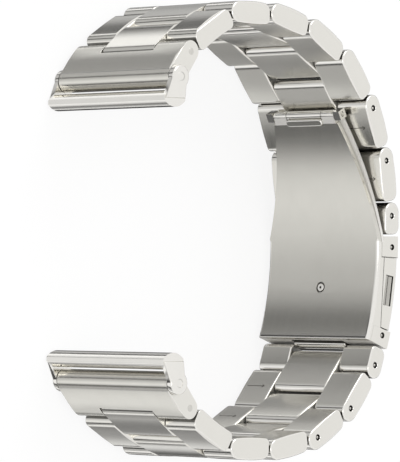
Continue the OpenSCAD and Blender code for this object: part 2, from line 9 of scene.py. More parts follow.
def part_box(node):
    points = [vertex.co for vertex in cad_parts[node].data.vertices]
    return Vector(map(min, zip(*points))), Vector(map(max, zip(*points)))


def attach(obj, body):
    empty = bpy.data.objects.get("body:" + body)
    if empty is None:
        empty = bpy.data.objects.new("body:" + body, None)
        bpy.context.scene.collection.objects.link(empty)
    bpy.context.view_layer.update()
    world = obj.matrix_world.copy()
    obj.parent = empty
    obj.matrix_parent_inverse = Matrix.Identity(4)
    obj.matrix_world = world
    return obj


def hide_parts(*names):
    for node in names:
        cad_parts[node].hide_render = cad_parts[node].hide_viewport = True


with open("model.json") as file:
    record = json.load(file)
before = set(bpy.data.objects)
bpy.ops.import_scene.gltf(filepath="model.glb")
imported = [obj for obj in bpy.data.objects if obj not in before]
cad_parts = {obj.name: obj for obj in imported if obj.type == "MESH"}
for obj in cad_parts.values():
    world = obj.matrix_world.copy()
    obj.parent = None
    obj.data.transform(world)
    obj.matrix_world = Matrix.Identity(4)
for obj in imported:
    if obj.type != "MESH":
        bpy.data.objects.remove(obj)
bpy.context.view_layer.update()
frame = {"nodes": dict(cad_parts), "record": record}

# Sizes below are in millimetres, which this turns to metres, and angles in radians
MM = 0.001
nodes = frame["nodes"]
body_of = {
    node: body
    for body, members in frame["record"]["behaviour"]["bodies"].items()
    for node in members
}

# Sizes of the links, as the CAD part has them
STRAP_W = 22
SIDE_W = 5.8
LINK_PITCH = 8.25
SHORT_PITCH = 4.65
INNER_T = 1.5
OUTER_T = 1.6
CROWN = 0.12
NOSE_R = 1.55
FAR_GAP = 2.25
SHORT_GAP = 1.9
SIDE_CORNER_IN = 0.8
CENTRE_CORNER_IN = 1.1
TONGUE_CORNER = 0.6
CORNER_OUT = 1.2
CAD_RECESS_R = 0.66
RECESS_DEPTH = 0.5

# The clasp, as the CAD part has it: the plate's inner face, and the arm pin's place
WRIST_R = 41.4
ARM_PIN_R = 44.51
ARM_PIN_ANGLE = math.radians(89)

# The links as they are dressed: the bow of the inner faces and where a bow is cut, the
# side pieces' noses, the two rims, and the gap on either side of a middle piece
INNER_CROWN = 0.08
BOW_CUTS = (0.5, 1, 1.5)
SIDE_NOSE = 2.0
RIM = 0.24
CENTRE_RIM = 0.3
CENTRE_PLAY = 0.02

# The corners keep just under their full radius, so that none meets the next, and a flat
# face of a link's end is longer than this
FULL = 0.998
END_FACE = 0.3

# The short link's middle piece is painted dark all round from here on, as painted shade
SHADE_FROM = FAR_GAP + 0.5

# Link 2's side pieces are longer at the end link: what lies this near its pin moves out
SECOND_LONGER = 0.42
SECOND_END = FAR_GAP + 1.5

# The links from number 3 to the short one, which hangs on the clasp's pin. From
# first_open on their pins come out, and an arrow starts at arrow_z on all but the last.
# The outer face is to the left of the way to the clasp where side is 1
FIRST_FULL = 3
HALVES = {
    "upper": {
        "side": 1, "count": 9, "first_open": 7, "clasp_pin": "arm_pin",
        "arrow_z": STRAP_W - 4.6,
    },
    "lower": {
        "side": -1, "count": 7, "first_open": 5, "clasp_pin": "plate_end_pin",
        "arrow_z": 0.8,
    },
}

# Arrows beside the pins that come out
ARROW_L = 3.4
ARROW_W = 0.1
ARROW_RISE = 0.02
ARROW_BACK = 0.5
ARROW_HEAD_L = 0.52
ARROW_HEAD_OFF = (0.13, 0.24)
ARROW_HEAD_TILT = math.radians(28)

# Turned pieces and round recesses have this many flats
ROUND_STEPS = 32

# Pins: the recess round a tip, the tip's profile as radius and height, and a ground end
RECESS_R = 0.45
RECESS_LIP = 0.05
RECESS_TAPER = 0.06
PIN_TIP_R = 0.25
PIN_TIP_OUT = 0.22
PIN_TIP = [
    (PIN_TIP_R * 0.35, 0), (PIN_TIP_R * 0.7, 0.035), (PIN_TIP_R * 0.93, 0.1),
    (PIN_TIP_R, 0.18), (PIN_TIP_R, 0.48),
]
PIN_SHOULDER = 0.56
GROUND_R = 0.5
GROUND_END = [(GROUND_R, -0.03), (GROUND_R, 0.0), (GROUND_R - 0.03, 0.015)]

# The hinge: how far its walls and its barrels reach from the pin, and the largest face
# of a barrel in square millimetres
HINGE_REACH = 2.4
BARREL_REACH = 1.5
BARREL_FACE = 2

# The plate: its rolled sides begin at this X from the middle of its curve, its lip is
# the long sharp edge at its end, and past the skirt's radius it is out of sight
ROLL_R = 0.5
ROLL_FROM = -0.6
LIP_R = 0.5
LIP_ANGLE = 0.6
LIP_LONG = 5
SKIRT_R = WRIST_R + 1

# The raised tab under the hinge's barrel
TAB_W = 7.1
TAB_R = 0.55
TAB_DROP = 0.88
TAB_RISE = 0.34
TAB_SINK = 0.05
TAB_RIM = 0.2
TAB_STEPS = 24

# The rivet: the post's foot lies within this of the middle of the plate's curve, and the
# head goes from its ring, painted dark as shade, to its pit, as radius and height
FOOT_REACH = WRIST_R + 0.1
RIVET_RING_R = 0.78
RIVET_HEAD_R = 0.6
RIVET_PIT_R = 0.2
RIVET = [
    (RIVET_RING_R, -0.05), (RIVET_RING_R, 0.02), (RIVET_HEAD_R, 0.02),
    (RIVET_HEAD_R - 0.06, 0.07), (RIVET_PIT_R, 0.07), (RIVET_PIT_R * 0.7, 0.03),
]

# The push buttons' scoop, as shares of the button's height, and its depth
SCOOP_FROM = 0.3
SCOOP_SPAN = 0.78
SCOOP_CUTS = (0.3, 0.44, 0.58, 0.72, 0.86)
SCOOP_DEPTH = 0.42

# Rounded outlines of the latch box and of the adapters' ears past their bar's hole
BOX_ROUND = 0.4
EAR_ROUND = 0.6
EAR_REACH = 1.2
BAR_INSET = 0.02

# The end link's pocket lies within this of its pin
POCKET_REACH = 2.2

# How far the sharp edges of the pieces are broken
FINE_EDGE = 0.08
PLATE_EDGE = 0.12
BOX_EDGE = 0.07
POST_EDGE = 0.15
END_EDGE = 0.15
BAR_EDGE = 0.06
SECOND_EDGE = 0.22
PIN_EDGE = 0.14

# Places this close count as one, from the finest to that between a curve and its flats
MERGE = 0.0005
NEAR = 0.001
CLOSE = 0.01
CURVE_NEAR = 0.04

# Angles between faces: nearly flat, shown as an edge, and sharp enough to be broken
FLAT_ANGLE = math.radians(0.6)
SHARP_ANGLE = math.radians(32)
BREAK_ANGLE = math.radians(38)

# How nearly a face looks a given way, as the cosine of the angle between them
STRAIGHT = 0.99
NEARLY = 0.97
ROUGHLY = 0.9

# Places in a piece's list of finishes. The first, 0, is that of the broad faces. A spot
# is a laser mark or the ground end of a pin. In most lists DARK holds painted shade, and
# the last place, for walls that face a gap, holds painted shade too
NARROW, BRIGHT, DARK, SPOT, GAP_SHADE = range(1, 6)

# The links lie this far above the resting plane
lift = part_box("upper_link_3_sides")[0].z / MM

# The camera of the photograph
CAMERA_AT = Vector((5.2, -414.175, 403.7 + lift))
CAMERA_AIM = Vector((-0.044, -5.865, 11.0 + lift))
CAMERA_LENS = 304.7


def add_camera():
    forward = (CAMERA_AIM - CAMERA_AT).normalized()
    right = forward.cross(Vector((-1, 0, 0))).normalized()
    up = right.cross(forward)
    data = bpy.data.cameras.new("camera")
    data.lens = CAMERA_LENS
    data.clip_start = 0.01
    camera = bpy.data.objects.new("camera", data)
    turn = Matrix((right, up, -forward)).transposed().to_4x4()
    camera.matrix_world = Matrix.Translation(CAMERA_AT * MM) @ turn
    bpy.context.scene.collection.objects.link(camera)
    bpy.context.scene.camera = camera


def linear(colour):
    """A colour written as sRGB hex, as the shader's linear values."""
    values = [int(colour[i:i + 2], 16) / 255 for i in (1, 3, 5)]
    return [v / 12.92 if v <= 0.04045 else ((v + 0.055) / 1.055) ** 2.4 for v in values] + [1]


def new_tree(data):
    """The empty node tree of a material or of the world."""
    data.use_nodes = True
    data.node_tree.nodes.clear()
    return data.node_tree


def add_node(tree, kind, props=None, inputs=None):
    """A node with its settings, and each input set to a value or joined to an output."""
    made = tree.nodes.new(kind)
    for name, value in (props or {}).items():
        setattr(made, name, value)
    for name, value in (inputs or {}).items():
        if isinstance(value, bpy.types.NodeSocket):
            tree.links.new(value, made.inputs[name])
        else:
            made.inputs[name].default_value = value
    return made


# Brightness of the studio that the steel mirrors, by compass direction in degrees.
# Upright faces mirror what lies low around the object: pale cards and dark flags.
LOW_STUDIO = [
    (-180, 0.24), (-176, 0.04), (-170, 0.34), (-158, 0.50), (-137, 0.56), (-128, 0.40),
    (-124, 0.02), (-119, 0.03), (-112, 0.65), (-100, 0.60), (-90, 0.77), (-74, 0.93),
    (-62, 0.88), (-55, 0.44), (-49, 0.03), (-40, 0.08), (-31, 0.58), (-18, 0.32),
    (-9, 1.0), (1, 0.95), (9, 0.60), (18, 0.18), (32, 0.34), (44, 0.90), (53, 0.03),
    (70, 0.04), (86, 0.36), (104, 0.03), (138, 0.54), (153, 0.02), (163, 1.18),
    (175, 0.80),
]
LOW_LEVEL = 1.1
HIGH_LEVEL = 0.95

# The studio changes from low to high between these heights of the direction looked in
HORIZON = (-0.35, 0.1)


def low_studio(tree, axes):
    """The cards and flags, by the compass direction looked in."""
    compass = add_node(
        tree, "ShaderNodeMath", {"operation": "ARCTAN2"},
        {0: axes.outputs["Y"], 1: axes.outputs["X"]},
    )
    around = add_node(
        tree, "ShaderNodeMapRange", None,
        {"Value": compass.outputs[0], "From Min": -math.pi, "From Max": math.pi},
    )
    low = add_node(tree, "ShaderNodeValToRGB", None, {"Fac": around.outputs["Result"]})
    low.color_ramp.interpolation = "EASE"
    stops = low.color_ramp.elements
    stops.remove(stops[1])
    stops[0].color = [LOW_STUDIO[0][1]] * 3 + [1]
    for angle, grey in LOW_STUDIO[1:]:
        stops.new((angle + 180) / 360).color = [grey] * 3 + [1]
    return add_node(
        tree, "ShaderNodeMath", {"operation": "MULTIPLY"},
        {0: low.outputs["Color"], 1: LOW_LEVEL},
    )


def add_studio():
    """The surroundings: an even white above, and the cards and flags below."""
    world = bpy.data.worlds.new("studio")
    tree = new_tree(world)
    where = add_node(tree, "ShaderNodeTexCoord")
    axes = add_node(tree, "ShaderNodeSeparateXYZ", inputs={"Vector": where.outputs["Generated"]})
    low = low_studio(tree, axes)
    height = add_node(
        tree, "ShaderNodeMapRange", {"interpolation_type": "SMOOTHSTEP"},
        {"Value": axes.outputs["Z"], "From Min": HORIZON[0], "From Max": HORIZON[1]},
    )
    level = add_node(
        tree, "ShaderNodeMix", {"data_type": "FLOAT"},
        {0: height.outputs["Result"], 2: low.outputs[0], 3: HIGH_LEVEL},
    )
    light = add_node(
        tree, "ShaderNodeBackground", None,
        {"Color": linear("#ffffff"), "Strength": level.outputs[0]},
    )
    add_node(tree, "ShaderNodeOutputWorld", None, {"Surface": light.outputs[0]})
    bpy.context.scene.world = world


def add_lamp(name, at, size, watts):
    """A square lamp with a soft edge to its shadow, aimed at the middle of the strap."""
    data = bpy.data.lights.new(name, "AREA")
    data.size = size * MM
    data.energy = watts
    lamp = bpy.data.objects.new(name, data)
    place = Vector(at)
    way = Vector((0, 0, STRAP_W / 2)) - place
    turn = way.to_track_quat("-Z", "Y").to_matrix().to_4x4()
    lamp.matrix_world = Matrix.Translation(place * MM) @ turn
    bpy.context.scene.collection.objects.link(lamp)


# The floor's half width in metres, and how much of its own light the camera sees
FLOOR_HALF = 1.5
FLOOR_GLOW = 0.85


def floor_material():
    """Matt white paper. To the camera it also glows a little, as paper lit from below,
    which keeps the object's shadow pale."""
    material = bpy.data.materials.new("white_paper")
    tree = new_tree(material)
    paper = add_node(tree, "ShaderNodeBsdfDiffuse", None, {"Color": linear("#fbfbfb")})
    glow = add_node(tree, "ShaderNodeEmission", None, {"Color": linear("#ffffff")})
    path = add_node(tree, "ShaderNodeLightPath")
    share = add_node(
        tree, "ShaderNodeMath", {"operation": "MULTIPLY"},
        {0: path.outputs["Is Camera Ray"], 1: FLOOR_GLOW},
    )
    shader = add_node(
        tree, "ShaderNodeMixShader", None,
        {0: share.outputs[0], 1: paper.outputs[0], 2: glow.outputs[0]},
    )
    add_node(tree, "ShaderNodeOutputMaterial", None, {"Surface": shader.outputs[0]})
    return material


def add_floor():
    """The floor isn't mirrored by the steel, which shows the studio below instead."""
    mesh = bmesh.new()
    bmesh.ops.create_grid(mesh, x_segments=1, y_segments=1, size=FLOOR_HALF)
    data = bpy.data.meshes.new("floor")
    mesh.to_mesh(data)
    mesh.free()
    data.materials.append(floor_material())
    floor = bpy.data.objects.new("floor", data)
    floor.visible_glossy = False
    bpy.context.scene.collection.objects.link(floor)


# Brush lines: how long each runs, and how far apart they are, which is about three
# times as coarse as real ones so that they show
LINE_L = 6
LINE_APART = 0.16

# Width of the soft clouds in the colour
CLOUD_W = 2.86


def grain_noises(tree):
    """The brush lines and the clouds of a steel, which both follow the piece's grain."""
    place = add_node(tree, "ShaderNodeAttribute", {"attribute_name": "grain"})
    stretched = add_node(
        tree, "ShaderNodeMapping", None,
        {
            "Vector": place.outputs["Vector"],
            "Scale": (1 / LINE_L, 1 / LINE_APART, 1 / LINE_APART),
        },
    )
    brushing = add_node(
        tree, "ShaderNodeTexNoise", None,
        {"Vector": stretched.outputs[0], "Scale": 1, "Detail": 3, "Roughness": 0.6},
    )
    cloud = add_node(
        tree, "ShaderNodeTexNoise", None,
        {"Vector": place.outputs["Vector"], "Scale": 1 / CLOUD_W, "Detail": 2},
    )
    return brushing, cloud


def steel(name, colour, roughness, spread, relief=0.0, metallic=1.0):
    """Stainless steel. Its two colours mix in the clouds, and the brush lines vary its
    roughness by spread and stand out by relief."""
    material = bpy.data.materials.new(name)
    tree = new_tree(material)
    brushing, cloud = grain_noises(tree)
    tint = add_node(
        tree, "ShaderNodeMix", {"data_type": "RGBA"},
        {0: cloud.outputs["Fac"], 6: linear(colour[0]), 7: linear(colour[1])},
    )
    rough = add_node(
        tree, "ShaderNodeMapRange", None,
        {
            "Value": brushing.outputs["Fac"], "From Min": 0.3, "From Max": 0.7,
            "To Min": roughness - spread, "To Max": roughness + spread,
        },
    )
    inputs = {
        "Base Color": tint.outputs[2], "Metallic": metallic,
        "Roughness": rough.outputs["Result"],
    }
    if relief:
        bump = add_node(
            tree, "ShaderNodeBump", None,
            {"Height": brushing.outputs["Fac"], "Strength": 0.5, "Distance": relief * MM},
        )
        inputs["Normal"] = bump.outputs[0]
    shader = add_node(tree, "ShaderNodeBsdfPrincipled", None, inputs)
    add_node(tree, "ShaderNodeOutputMaterial", None, {"Surface": shader.outputs[0]})
    return material


# How far apart the springs' turns are, and how long the texture's wave is at scale 1
TURN_APART = 0.42
WAVE_L = math.pi / 10


def wound_steel(name):
    """Spring wire: close turns, with a line of painted shade between each and the next."""
    material = bpy.data.materials.new(name)
    tree = new_tree(material)
    place = add_node(tree, "ShaderNodeTexCoord")
    turns = add_node(
        tree, "ShaderNodeTexWave", {"bands_direction": "Z"},
        {"Vector": place.outputs["Object"], "Scale": WAVE_L / (TURN_APART * MM)},
    )
    tint = add_node(
        tree, "ShaderNodeMix", {"data_type": "RGBA"},
        {0: turns.outputs["Fac"], 6: linear("#35332f"), 7: linear("#bdbab2")},
    )
    bump = add_node(
        tree, "ShaderNodeBump", None,
        {"Height": turns.outputs["Fac"], "Strength": 0.8, "Distance": 0.1 * MM},
    )
    shader = add_node(
        tree, "ShaderNodeBsdfPrincipled", None,
        {
            "Base Color": tint.outputs[2], "Metallic": 1, "Roughness": 0.3,
            "Normal": bump.outputs[0],
        },
    )
    add_node(tree, "ShaderNodeOutputMaterial", None, {"Surface": shader.outputs[0]})
    return material


# Brushed 316L: soft and even, with a slight warm cast and fine lines along the strap
brushed = steel("brushed_steel", ("#dcdad3", "#e3e1da"), 0.24, 0.02, relief=0.0005)
# The narrow side faces: blasted finer, they show pale and nearly without lines
side_satin = steel("satin_side_steel", ("#e4e2dc", "#e8e6e0"), 0.36, 0.02)
# Rounded and bevelled edges: buffed bright, they mirror in bands
polished = steel("polished_steel", ("#eae8e3", "#f0eee9"), 0.14, 0.01)
# Inner plate of the clasp: brushed, a little darker than the links
plate_steel = steel("clasp_plate_steel", ("#d4d2cb", "#dad8d1"), 0.25, 0.015, relief=0.0004)
# Pins: plain turned steel, duller and darker
pin_steel = steel("turned_pin_steel", ("#b3b1ab", "#c1bfb9"), 0.25, 0.04)
# Pin ends that are ground nearly flush with the end links' sides: a faint grey disc
ground_steel = steel("ground_pin_steel", ("#cfcdc7", "#d9d7d1"), 0.3, 0.04)
# Link 2: its broad faces are buffed more than the other links'
buffed = steel("buffed_steel", ("#e2e0da", "#e8e6e0"), 0.16, 0.015, relief=0.0003)
# The clasp's hidden outer faces: blasted matt, they scatter the light between the pieces
blasted = steel("blasted_steel", ("#dedcd8", "#e4e2de"), 0.5, 0.03, metallic=0.45)
# Walls between two pieces: duller, and painted darker as the shade in the gaps
gap_shade_steel = steel("painted_gap_shade", ("#8b8a87", "#969592"), 0.42, 0.03)
# Bottom of a recess or a narrow gap, painted dark as the shade that falls there
recess_shade_steel = steel("recess_shade_steel", ("#3a3834", "#4a4844"), 0.55, 0.05)
# Laser marks: dark oxide burnt into the steel
marked_steel = steel("laser_mark", ("#57554f", "#64625c"), 0.5, 0.05)
# Springs: hard-drawn wire, with a line of painted shade between its bright turns
spring_steel = wound_steel("wound_spring_steel")

# The finishes of the pieces, in the order of their places
SIDE_FINISHES = (brushed, side_satin, polished, recess_shade_steel, marked_steel, gap_shade_steel)
# The middle pieces' narrow faces, which face the gaps, take the painted gap shade
CENTRE_FINISHES = (brushed, gap_shade_steel, polished, recess_shade_steel)
PLAIN = (brushed, side_satin, polished, recess_shade_steel)
END_FINISHES = PLAIN + (ground_steel,)
BUFFED = (buffed, side_satin, polished, gap_shade_steel)
PLATE_FINISHES = (plate_steel, side_satin, polished, blasted)
HIDDEN = (blasted, side_satin, polished, recess_shade_steel)
PIN = (pin_steel, pin_steel, polished)
POST_FINISHES = PIN + (recess_shade_steel,)
SHINY = (polished, polished, polished)


def pin_at(node):
    low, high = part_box(node)
    return (low + high) / 2 / MM


def heights(node):
    """The lowest and the highest Z of a node."""
    return [corner.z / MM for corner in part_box(node)]


def from_axis(point, axis):
    """How far a point is from the upright line through another."""
    return math.hypot(point.x - axis.x, point.y - axis.y)


def edges_where(mesh, test):
    return [edge for edge in mesh.edges if all(test(vert.co) for vert in edge.verts)]


def is_cap(face):
    """Tells the narrow side faces, which look up or down, from the rest."""
    return abs(face.normal.z) > STRAIGHT


def paint(faces, finish):
    for face in faces:
        face.material_index = finish


def new_box(low, high):
    mesh = bmesh.new()
    bmesh.ops.create_cube(mesh, size=1)
    for vert in mesh.verts:
        vert.co = [low[i] if vert.co[i] < 0 else high[i] for i in range(3)]
    return mesh


def cut_across(mesh, at, way):
    """Adds a line of edges where a plane meets the mesh."""
    bmesh.ops.bisect_plane(
        mesh, geom=mesh.verts[:] + mesh.edges[:] + mesh.faces[:], dist=NEAR,
        plane_co=at, plane_no=way,
    )


def round_edges(mesh, edges, radius, segments, clamp=False):
    return bmesh.ops.bevel(
        mesh, geom=edges, offset=radius, offset_type="OFFSET", affect="EDGES",
        segments=segments, profile=0.5, material=-1, clamp_overlap=clamp,
    )["faces"]


def break_edges(mesh, edges, width, segments, clamp=True):
    """Bevels edges and polishes the bevel."""
    paint(round_edges(mesh, edges, width, segments, clamp), BRIGHT)
    mesh.normal_update()


def break_sharp(mesh, width, segments=2):
    """Breaks every sharp edge."""
    sharp = [
        edge for edge in mesh.edges
        if edge.is_manifold and edge.calc_face_angle() > BREAK_ANGLE
    ]
    break_edges(mesh, sharp, width, segments)


def rim_edges(mesh):
    """Edges between the narrow side faces and the rest."""
    return [
        edge for edge in mesh.edges
        if len(edge.link_faces) == 2 and is_cap(edge.link_faces[0]) != is_cap(edge.link_faces[1])
    ]


def lathe(profile):
    """A turned piece about Z, closed at both ends. The profile is a list of radius and
    height."""
    mesh = bmesh.new()
    verts = [mesh.verts.new((radius, 0, z)) for radius, z in profile]
    edges = [mesh.edges.new(pair) for pair in zip(verts, verts[1:])]
    bmesh.ops.spin(
        mesh, geom=verts + edges, cent=(0, 0, 0), axis=(0, 0, 1), angle=2 * math.pi,
        steps=ROUND_STEPS, use_merge=True,
    )
    open_ends = [edge for edge in mesh.edges if edge.is_boundary]
    bmesh.ops.holes_fill(mesh, edges=open_ends, sides=ROUND_STEPS)
    bmesh.ops.recalc_face_normals(mesh, faces=mesh.faces)
    return mesh


def join(into, other):
    """Moves the second mesh into the first."""
    data = bpy.data.meshes.new("part")
    other.to_mesh(data)
    other.free()
    into.from_mesh(data)
    bpy.data.meshes.remove(data)


def cad_copy(node):
    """A clean copy of a CAD node's mesh in millimetres."""
    mesh = bmesh.new()
    mesh.from_mesh(nodes[node].data)
    bmesh.ops.scale(mesh, vec=(1 / MM, 1 / MM, 1 / MM), verts=mesh.verts)
    bmesh.ops.remove_doubles(mesh, verts=mesh.verts, dist=MERGE)
    bmesh.ops.dissolve_limit(mesh, angle_limit=FLAT_ANGLE, verts=mesh.verts, edges=mesh.edges)
    mesh.normal_update()
    paint([face for face in mesh.faces if is_cap(face)], NARROW)
    return mesh


def make_piece(mesh, name, finishes, node, matrix=None, grain=None):
    """Turns a mesh in millimetres into a piece that stands for a CAD node."""
    layer = mesh.verts.layers.float_vector.new("grain")
    for vert in mesh.verts:
        vert[layer] = grain(vert.co) if grain else vert.co
    if matrix:
        bmesh.ops.transform(mesh, matrix=matrix, verts=mesh.verts)
    bmesh.ops.remove_doubles(mesh, verts=mesh.verts, dist=MERGE)
    bmesh.ops.recalc_face_normals(mesh, faces=mesh.faces)
    for face in mesh.faces:
        face.smooth = True
    for edge in mesh.edges:
        edge.smooth = edge.is_manifold and edge.calc_face_angle() < SHARP_ANGLE
    bmesh.ops.scale(mesh, vec=(MM, MM, MM), verts=mesh.verts)
    data = bpy.data.meshes.new(name)
    mesh.to_mesh(data)
    mesh.free()
    for finish in finishes:
        data.materials.append(finish)
    piece = bpy.data.objects.new(name, data)
    bpy.context.scene.collection.objects.link(piece)
    weighting = piece.modifiers.new("weighted_normals", "WEIGHTED_NORMAL")
    weighting.keep_sharp = True
    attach(piece, body_of[node])
    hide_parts(node)


def link_block(stop, z0, z1, nose, nose_corner, corner_in, crown, rim=RIM):
    """A link's piece in its own frame: round about the pin at 0, square at stop. It
    reaches past the pin by nose. Its flat end is painted dark, as shade, since it looks
    straight into the gap between two links."""
    mesh = new_box((-nose, -INNER_T, z0), (stop, OUTER_T, z1))
    for x, y, radius, segments in (
        (-nose, OUTER_T, NOSE_R * FULL, 9), (-nose, -INNER_T, nose_corner * FULL, 7),
        (stop, -INNER_T, corner_in, 6), (stop, OUTER_T, CORNER_OUT, 6),
    ):
        corner = edges_where(mesh, lambda p: abs(p.x - x) < NEAR and abs(p.y - y) < NEAR)
        round_edges(mesh, corner, radius, segments)
    mesh.normal_update()
    # Wide flat end walls get painted shade; the other rounded faces are polished
    for face in mesh.faces:
        if not is_cap(face) and abs(face.normal.y) < STRAIGHT:
            wide = face.calc_area() > END_FACE * (z1 - z0)
            face.material_index = DARK if abs(face.normal.x) > NEARLY and wide else BRIGHT
    if crown:
        bow_faces(mesh, (stop - CORNER_OUT) / 2, crown)
    mesh.normal_update()
    paint([face for face in mesh.faces if is_cap(face)], NARROW)
    paint(round_edges(mesh, rim_edges(mesh), rim, 3), BRIGHT)
    return mesh


def bow_faces(mesh, middle, crown):
    """Crowns a link's broad faces, highest at middle and level at the pin and beyond."""
    for share in BOW_CUTS:
        cut_across(mesh, (middle * share, 0, 0), (1, 0, 0))
    for vert in mesh.verts:
        if 0 < vert.co.x < 2 * middle:
            bow = 1 - (vert.co.x / middle - 1) ** 2
            if vert.co.y > OUTER_T - NEAR:
                vert.co.y += crown * bow
            elif vert.co.y < NEAR - INNER_T:
                vert.co.y -= INNER_CROWN * bow


def sink_recess(mesh, z, way):
    """Cuts the recess of a removable pin into the side face at z. way points outwards."""
    mesh.normal_update()
    cap = [f for f in mesh.faces if is_cap(f) and abs(f.calc_center_median().z - z) < CLOSE]
    merged = cap[0] if len(cap) == 1 else bmesh.ops.dissolve_faces(mesh, faces=cap)["region"][0]
    outline = list(merged.edges)
    bmesh.ops.delete(mesh, geom=[merged], context="FACES_ONLY")
    circle = bmesh.ops.create_circle(
        mesh, radius=RECESS_R + RECESS_LIP, segments=ROUND_STEPS,
        matrix=Matrix.Translation((0, 0, z)),
    )
    ring = list({edge for vert in circle["verts"] for edge in vert.link_edges})
    made = bmesh.ops.triangle_fill(mesh, use_beauty=True, edges=outline + ring)["geom"]
    paint([item for item in made if isinstance(item, bmesh.types.BMFace)], NARROW)
    # The wall and floor of the recess are painted dark, as the shade inside it
    for drop, finish in ((RECESS_LIP, BRIGHT), (RECESS_DEPTH, DARK)):
        made = bmesh.ops.extrude_edge_only(mesh, edges=ring)["geom"]
        verts = [item for item in made if isinstance(item, bmesh.types.BMVert)]
        ring = [
            item for item in made
            if isinstance(item, bmesh.types.BMEdge) and all(vert in verts for vert in item.verts)
        ]
        for vert in verts:
            flat = Vector((vert.co.x, vert.co.y)).normalized() * RECESS_R
            vert.co = (flat.x, flat.y, z - way * drop)
        paint([item for item in made if isinstance(item, bmesh.types.BMFace)], finish)
    paint(bmesh.ops.contextual_create(mesh, geom=ring)["faces"], DARK)


def add_arrow(mesh, along, z0):
    """Laser mark on the inner face, across the link: a line with a small head at its
    far end, which shows the way to push the pin out."""
    off, down = ARROW_HEAD_OFF
    strokes = [(along, z0 + ARROW_L / 2, 0, ARROW_L)]
    for way in (-1, 1):
        head_z = z0 + ARROW_L - down
        strokes.append((along - way * off, head_z, ARROW_HEAD_TILT * way, ARROW_HEAD_L))
    lowest = -INNER_T - INNER_CROWN
    for x, z, tilt, length in strokes:
        place = (
            Matrix.Translation((x, lowest, z)) @ Matrix.Rotation(tilt, 4, "Y")
            @ Matrix.Diagonal((ARROW_W, ARROW_RISE, length, 1))
        )
        made = bmesh.ops.create_cube(mesh, size=1, matrix=place)
        paint({face for vert in made["verts"] for face in vert.link_faces}, SPOT)


def link_matrix(own, other, side):
    """The link's own frame: its pin at 0, X to the next pin, the outer face up."""
    along = Vector((other.x - own.x, other.y - own.y, 0)).normalized()
    outward = Vector((-along.y, along.x, 0)) * side
    turn = Matrix((along, outward, Vector((0, 0, 1)))).transposed().to_4x4()
    return Matrix.Translation((own.x, own.y, lift)) @ turn


def side_pieces(name, node, matrix, pitch, gap, removable, arrow_z):
    crown = CROWN if pitch == LINK_PITCH else 0
    shape = (SIDE_NOSE, NOSE_R, SIDE_CORNER_IN, crown)
    mesh = link_block(pitch - gap, 0, SIDE_W, *shape)
    other = link_block(pitch - gap, STRAP_W - SIDE_W, STRAP_W, *shape)
    if removable:
        sink_recess(mesh, 0, -1)
        sink_recess(other, STRAP_W, 1)
    join(mesh, other)
    # The inner narrow faces, which face the middle piece across a gap, get painted shade
    for face in mesh.faces:
        z = face.calc_center_median().z
        if is_cap(face) and min(z, STRAP_W - z) > SIDE_W - CLOSE:
            face.material_index = GAP_SHADE
    if arrow_z is not None:
        add_arrow(mesh, (pitch - gap) / 2 - ARROW_BACK, arrow_z)
    make_piece(mesh, name, SIDE_FINISHES, node, matrix)


def centre_piece(name, node, matrix, pitch):
    """The middle piece, turned round: its tongue lies about the next pin."""
    low = SIDE_W + CENTRE_PLAY
    tongue_corner = TONGUE_CORNER if pitch == LINK_PITCH else NOSE_R
    mesh = link_block(
        pitch - FAR_GAP, low, STRAP_W - low, NOSE_R, tongue_corner, CENTRE_CORNER_IN,
        CROWN, CENTRE_RIM,
    )
    for vert in mesh.verts:
        vert.co.x = pitch - vert.co.x
    # Painted shade: the short link's middle piece is dark past SHADE_FROM
    if pitch == SHORT_PITCH:
        paint([f for f in mesh.faces if f.calc_center_median().x > SHADE_FROM], DARK)
    make_piece(mesh, name, CENTRE_FINISHES, node, matrix)


def add_links(half, side, count, first_open, clasp_pin, arrow_z):
    """The full links and the short link of one half."""
    for k in range(FIRST_FULL, count + 1):
        short = k == count
        own = pin_at(f"{half}_link_{k}_pin")
        other = pin_at(clasp_pin if short else f"{half}_link_{k + 1}_pin")
        pitch = SHORT_PITCH if short else LINK_PITCH
        matrix = link_matrix(own, other, side)
        side_pieces(
            f"{half}_side_pieces_{k}", f"{half}_link_{k}_sides", matrix, pitch,
            SHORT_GAP if short else FAR_GAP, k >= first_open,
            arrow_z if first_open <= k < count else None,
        )
        centre_piece(f"{half}_middle_piece_{k}", f"{half}_link_{k}_centre", matrix, pitch)


def narrow_recess(mesh, pin):
    """Draws the recess round a shown pin in to the tip's size, and paints it dark as the shade
    inside it.
    """
    at = pin_at(pin)
    for face in mesh.faces:
        if all(from_axis(vert.co, at) < CAD_RECESS_R + CLOSE for vert in face.verts):
            face.material_index = DARK
    for vert in mesh.verts:
        size = from_axis(vert.co, at)
        if size < CAD_RECESS_R + CLOSE:
            wanted = RECESS_R if size > CAD_RECESS_R - CLOSE else RECESS_R - RECESS_TAPER
            vert.co.x = at.x + (vert.co.x - at.x) * wanted / size
            vert.co.y = at.y + (vert.co.y - at.y) * wanted / size


def dressed(name, node, finishes, width, grain=None, pin=None):
    """A CAD node's own shape with its sharp edges broken and polished."""
    mesh = cad_copy(node)
    if pin:
        narrow_recess(mesh, pin)
    break_sharp(mesh, width)
    make_piece(mesh, name, finishes, node, grain=grain)


def clasp_grain(centre):
    """Place on the clasp as length along its curve, height and width."""
    def place(point):
        x, y = point.x - centre.x, point.y - centre.y
        return Vector((math.atan2(y, x) * WRIST_R, math.hypot(x, y), point.z))
    return place


def clasp_place(centre, angle):
    """A frame in the middle of the clasp's inner face: X down its curve, Y along the
    width and Z towards the middle of the curve."""
    out = Vector((math.cos(angle), math.sin(angle), 0))
    down = Vector((out.y, -out.x, 0))
    turn = Matrix((down, Vector((0, 0, 1)), -out)).transposed().to_4x4()
    return Matrix.Translation(centre + out * WRIST_R) @ turn


